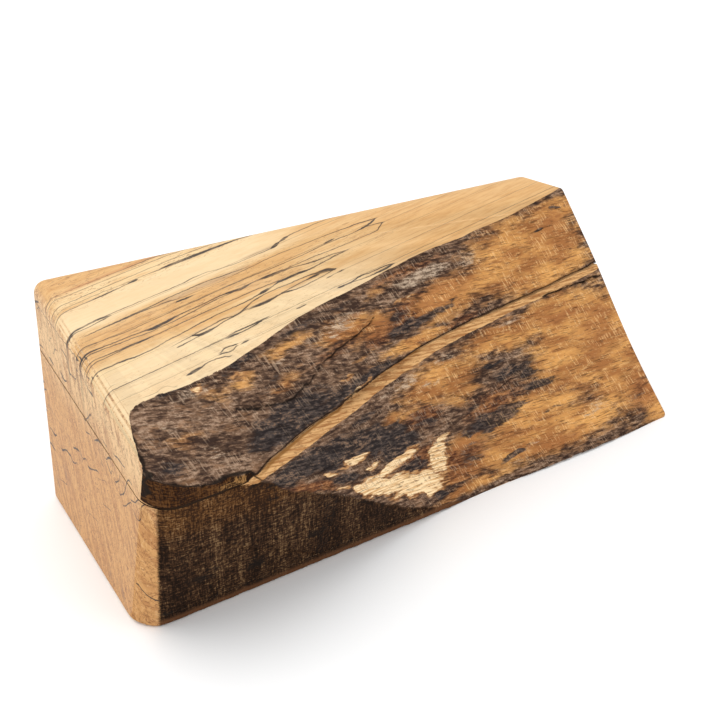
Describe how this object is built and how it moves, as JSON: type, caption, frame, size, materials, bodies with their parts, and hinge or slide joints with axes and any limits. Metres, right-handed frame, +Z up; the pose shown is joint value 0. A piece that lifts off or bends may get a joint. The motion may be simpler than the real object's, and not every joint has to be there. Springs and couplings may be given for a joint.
{
  "type": "wooden puzzle box",
  "caption": "Free-form live-edge wooden puzzle box: a lift-off lid over interlocking covers, a hollow locking key and lift-out trays.",
  "frame": {"origin": "under the middle of the outer box, on the surface it stands on", "axes": "+X along the billet towards its skewed end, -Y towards the live edge, +Z up"},
  "size_m": [0.2524, 0.1202, 0.0965],
  "materials": {
    "live_edge_wood": "oiled spalted wood with a dark natural edge",
    "core_wood": "oiled, saw-cut",
    "key_wood": "oiled, saw-cut darker heart",
    "shim_wood": "oiled",
    "suede": "flocked suede lining"
  },
  "bodies": {
    "root": {"base_shell": "live_edge_wood", "bottom_panel": "live_edge_wood", "kerf_shim": "shim_wood", "cavity_lining": "suede"},
    "right_tray": {"right_tray_wall": "core_wood", "right_tray_floor": "core_wood", "right_tray_floor_lining": "suede", "right_tray_wall_lining": "suede"},
    "left_tray": {"left_tray_wall": "core_wood", "left_tray_floor": "core_wood", "left_tray_floor_lining": "suede", "left_tray_wall_lining": "suede"},
    "right_cover": {"right_cover": "core_wood"},
    "left_cover": {"left_cover": "core_wood"},
    "key": {"key_post": "key_wood", "key_floor": "key_wood", "key_lining": "suede"},
    "stopper": {"key_stopper": "key_wood"},
    "lid": {"lid_slab": "live_edge_wood", "lid_locator": "core_wood", "lid_lining": "suede"}
  },
  "joints": [
    {"name": "right_tray_lift", "type": "slide", "parent": "root", "child": "right_tray", "axis": [0, 0, 1], "range_m": [0, 0.075]},
    {"name": "left_tray_lift", "type": "slide", "parent": "right_tray", "child": "left_tray", "axis": [0, 0, 1], "range_m": [0, 0.075]},
    {"name": "right_cover_lift", "type": "slide", "parent": "left_tray", "child": "right_cover", "axis": [0, 0, 1], "range_m": [0, 0.03]},
    {"name": "left_cover_lift", "type": "slide", "parent": "right_cover", "child": "left_cover", "axis": [0, 0, 1], "range_m": [0, 0.03]},
    {"name": "key_lift", "type": "slide", "parent": "left_cover", "child": "key", "axis": [0, 0, 1], "range_m": [0, 0.07]},
    {"name": "stopper_pull", "type": "slide", "parent": "key", "child": "stopper", "axis": [0, 0, 1], "range_m": [0, 0.03]},
    {"name": "lid_lift", "type": "slide", "parent": "stopper", "child": "lid", "axis": [0, 0, 1], "range_m": [0, 0.1]}
  ]
}
